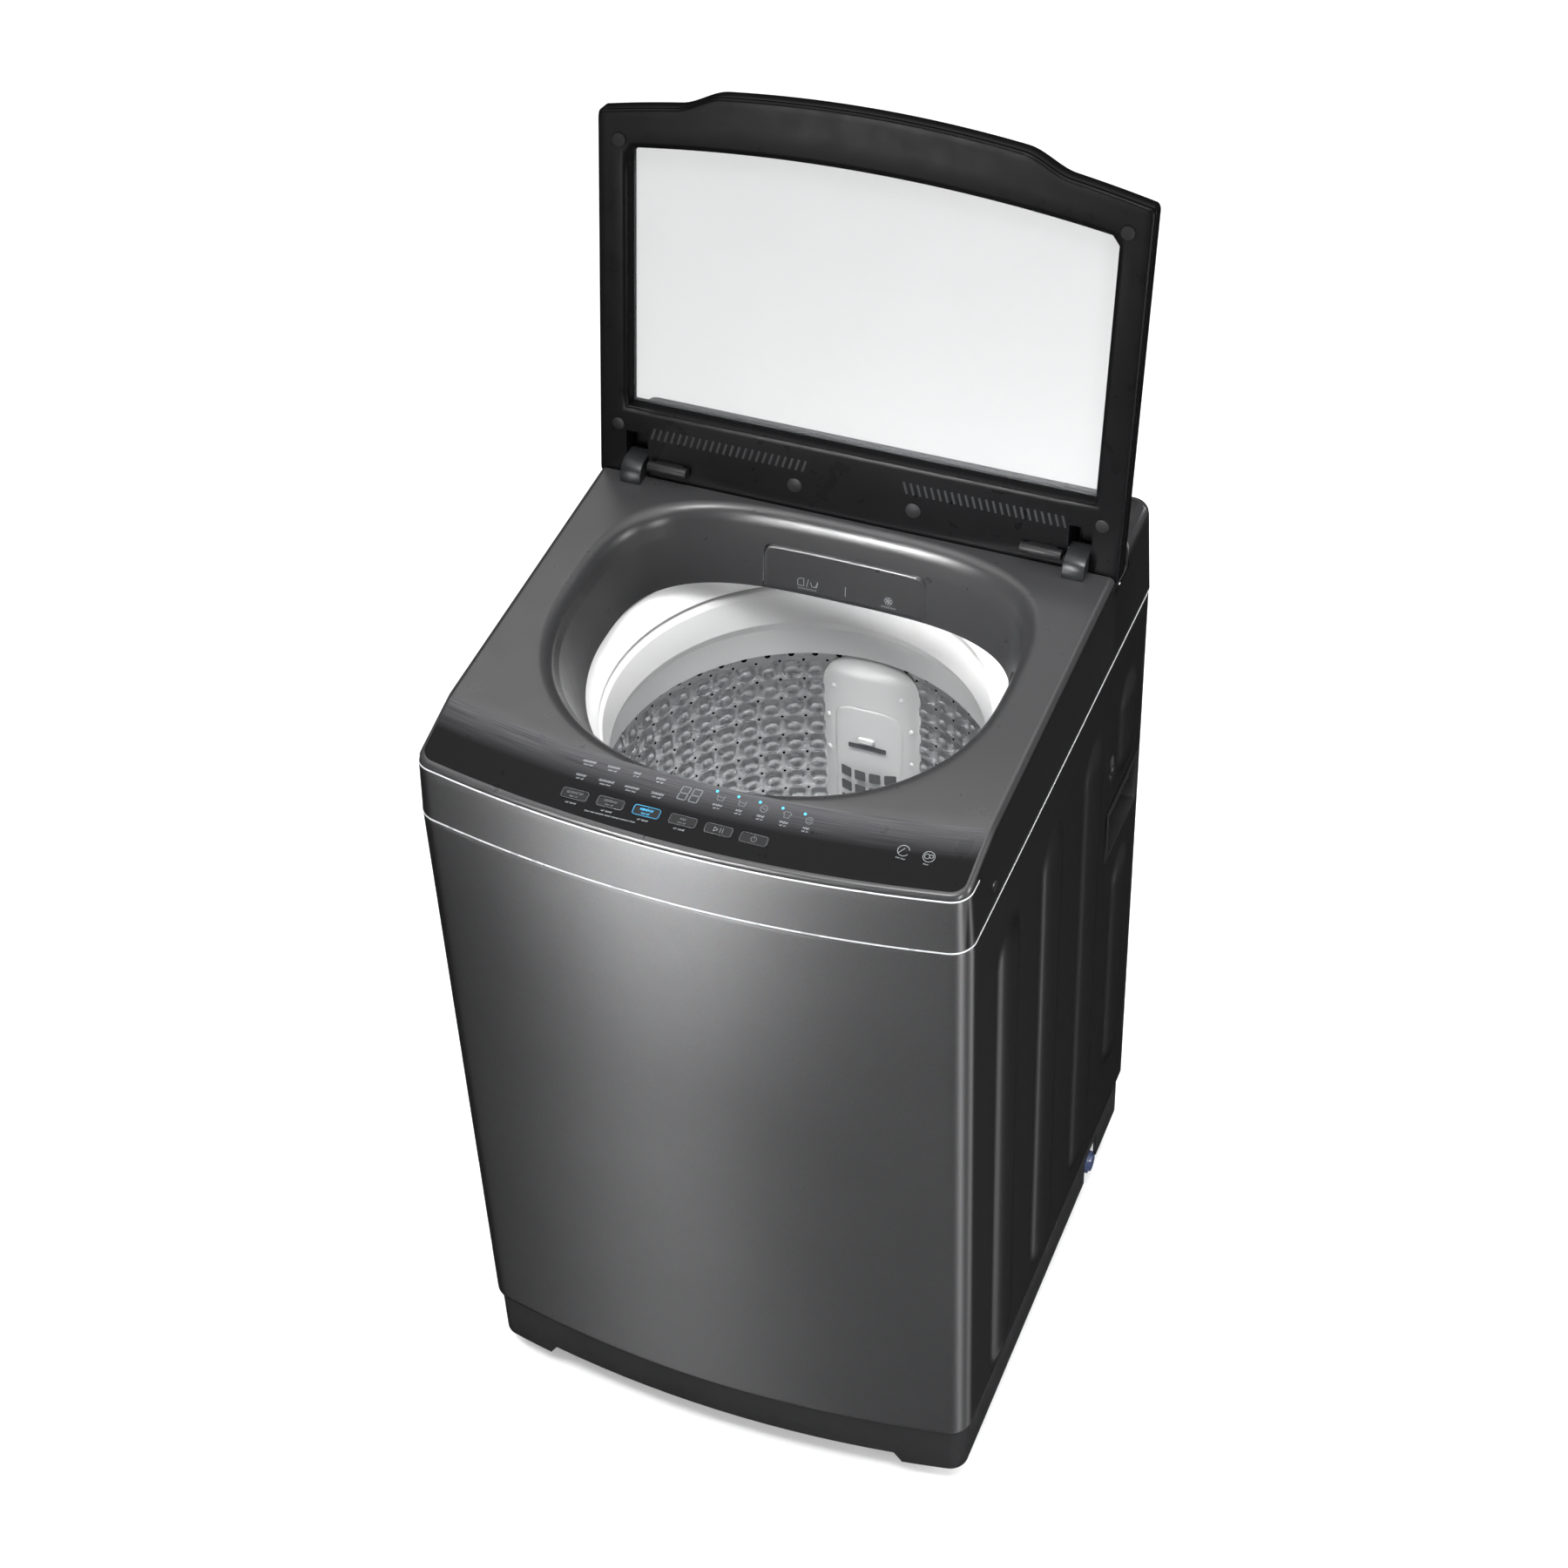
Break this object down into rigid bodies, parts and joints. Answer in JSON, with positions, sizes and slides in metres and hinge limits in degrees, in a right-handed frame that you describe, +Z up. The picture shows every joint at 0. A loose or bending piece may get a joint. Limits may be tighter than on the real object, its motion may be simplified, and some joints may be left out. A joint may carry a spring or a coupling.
{
  "type": "top load washing machine",
  "caption": "Free-standing top load washing machine with a crowned front, sloping control panel, glazed lid standing open, suspended tub, steel drum and belt drive.",
  "frame": {"origin": "on the floor, under the middle of the machine's outline with the lid open", "axes": "+Z up, -Y out of the crowned front, +X to the right for someone standing in front"},
  "size_m": [0.55, 0.5655, 1.3089],
  "materials": {
    "base_plastic": "dark grey moulded plastic with a light grain",
    "cabinet_paint": "graphite metallic paint, satin gloss",
    "galvanised": "plain galvanised sheet",
    "black_plastic": "black moulded plastic",
    "foot_rubber": "matt black rubber",
    "handle_plastic": "dark grey moulded plastic",
    "cover_plastic": "satin mid grey moulded plastic",
    "panel_black": "brushed-look black foil under clear gloss, fading to grey at the back edge",
    "display_glass": "smoked window",
    "board_green": "lacquered board",
    "trim_silver": "bright silver line",
    "hinge_grey": "grey plastic, slightly glossy",
    "pin_steel": "ground steel",
    "screw_steel": "blackened steel",
    "white_plastic": "white moulded plastic",
    "outlet_plastic": "dark blue-grey plastic",
    "lid_black": "satin black moulded plastic",
    "lid_glass": "clear safety glass",
    "button_black": "dark gloss with a pale outline",
    "cast_alloy": "as cast",
    "motor_steel": "grey lacquer",
    "belt_rubber": "matt black",
    "hose_grey": "grey corrugated hose",
    "spring_steel": "zinc plated wire",
    "drum_steel": "stainless steel, embossed and pierced",
    "pulsator_plastic": "light grey moulded plastic"
  },
  "bodies": {
    "cabinet": {"base": "base_plastic", "cabinet_shell": "cabinet_paint", "back_panel": "galvanised", "back_cover": "black_plastic", "rear_feet": "foot_rubber", "side_handles": "handle_plastic", "top_cover": "cover_plastic", "rear_cover_plate": "cover_plastic", "control_panel": "panel_black", "display_lens": "display_glass", "control_board": "board_green", "trim_strips": "trim_silver", "hinge_brackets": "hinge_grey", "hinge_pins": "pin_steel", "dispenser_housing": "cover_plastic", "inlet_valve": "white_plastic", "lid_switch": "black_plastic", "spray_nozzle": "black_plastic", "suspension_brackets": "galvanised", "suspension_rods": "pin_steel", "cabinet_screws": "screw_steel", "cord_gland": "black_plastic", "drain_outlet": "outlet_plastic"},
    "foot_left": {"foot_front_left": "foot_rubber"},
    "foot_right": {"foot_front_right": "foot_rubber"},
    "lid": {"lid_outer_frame": "lid_black", "lid_inner_frame": "lid_black", "lid_glass": "lid_glass", "lid_screw_caps": "black_plastic", "lid_bumpers": "foot_rubber", "hinge_dampers": "black_plastic"},
    "drawer": {"drawer_tray": "white_plastic", "drawer_front": "cover_plastic"},
    "tub": {"outer_tub": "white_plastic", "tub_cover": "white_plastic", "tub_frame": "galvanised", "gearcase": "cast_alloy", "motor": "motor_steel", "drive_belt": "belt_rubber", "drain_valve": "white_plastic", "drain_hose": "hose_grey", "suspension_springs": "spring_steel", "suspension_cups": "white_plastic"},
    "drum": {"drum_shell": "drum_steel", "balance_ring": "white_plastic", "drum_base": "white_plastic", "spin_shaft": "pin_steel", "filter_housing": "white_plastic"},
    "filter_door": {"filter_door": "white_plastic"},
    "pulsator": {"pulsator": "pulsator_plastic", "pulsator_screw": "pin_steel", "wash_shaft": "pin_steel"},
    "driven_pulley": {"driven_pulley": "cast_alloy"},
    "motor_pulley": {"motor_pulley": "cast_alloy"},
    "button_temperature": {"button_temperature": "button_black"},
    "button_program": {"button_program": "button_black"},
    "button_process": {"button_process": "button_black"},
    "button_set": {"button_set": "button_black"},
    "button_start": {"button_start": "button_black"},
    "button_power": {"button_power": "button_black"}
  },
  "joints": [
    {"name": "lid_hinge", "type": "hinge", "parent": "cabinet", "child": "lid", "pos_m": [0, 0.1841, 0.916], "axis": [1, 0, 0], "range_deg": [0, 101.5]},
    {"name": "drawer_slide", "type": "slide", "parent": "cabinet", "child": "drawer", "axis": [0, -1, 0], "range_m": [0, 0.1]},
    {"name": "button_temperature_press", "type": "slide", "parent": "cabinet", "child": "button_temperature", "axis": [0.0216, 0.2568, -0.9662], "range_m": [0, 0.0009], "stiffness_N_per_m": 800},
    {"name": "button_program_press", "type": "slide", "parent": "cabinet", "child": "button_program", "axis": [0.0143, 0.2573, -0.9662], "range_m": [0, 0.0009], "stiffness_N_per_m": 800},
    {"name": "button_process_press", "type": "slide", "parent": "cabinet", "child": "button_process", "axis": [0.0071, 0.2576, -0.9662], "range_m": [0, 0.0009], "stiffness_N_per_m": 800},
    {"name": "button_set_press", "type": "slide", "parent": "cabinet", "child": "button_set", "axis": [-0.0002, 0.2577, -0.9662], "range_m": [0, 0.0009], "stiffness_N_per_m": 800},
    {"name": "button_start_press", "type": "slide", "parent": "cabinet", "child": "button_start", "axis": [-0.0073, 0.2576, -0.9662], "range_m": [0, 0.0009], "stiffness_N_per_m": 800},
    {"name": "button_power_press", "type": "slide", "parent": "cabinet", "child": "button_power", "axis": [-0.0142, 0.2573, -0.9662], "range_m": [0, 0.0009], "stiffness_N_per_m": 800},
    {"name": "tub_bounce", "type": "slide", "parent": "cabinet", "child": "tub", "axis": [0, 0, 1], "range_m": [-0.012, 0.003], "stiffness_N_per_m": 9000, "springref_m": 0.0329, "deforming": ["suspension_springs"]},
    {"name": "drum_spin", "type": "hinge", "parent": "tub", "child": "drum", "pos_m": [0, 0.0165, 0.5], "axis": [0, 0, 1], "continuous": true},
    {"name": "pulsator_spin", "type": "hinge", "parent": "tub", "child": "pulsator", "pos_m": [0, 0.0165, 0.32], "axis": [0, 0, 1], "continuous": true},
    {"name": "driven_pulley_spin", "type": "hinge", "parent": "tub", "child": "driven_pulley", "pos_m": [0, 0.0165, 0.12], "axis": [0, 0, 1], "continuous": true},
    {"name": "motor_spin", "type": "hinge", "parent": "tub", "child": "motor_pulley", "pos_m": [-0.108, -0.0915, 0.12], "axis": [0, 0, 1], "continuous": true},
    {"name": "filter_door_hinge", "type": "hinge", "parent": "drum", "child": "filter_door", "pos_m": [0, 0.2005, 0.404], "axis": [1, 0, 0], "range_deg": [0, 25]},
    {"name": "foot_left_screw", "type": "slide", "parent": "cabinet", "child": "foot_left", "axis": [0, 0, 1], "range_m": [-0.012, 0]},
    {"name": "foot_right_screw", "type": "slide", "parent": "cabinet", "child": "foot_right", "axis": [0, 0, 1], "range_m": [-0.012, 0]}
  ],
  "couplings": [
    {"joint": "motor_spin", "follows": "driven_pulley_spin", "ratio": 2.7143},
    {"joint": "pulsator_spin", "follows": "driven_pulley_spin", "ratio": 0.19}
  ]
}
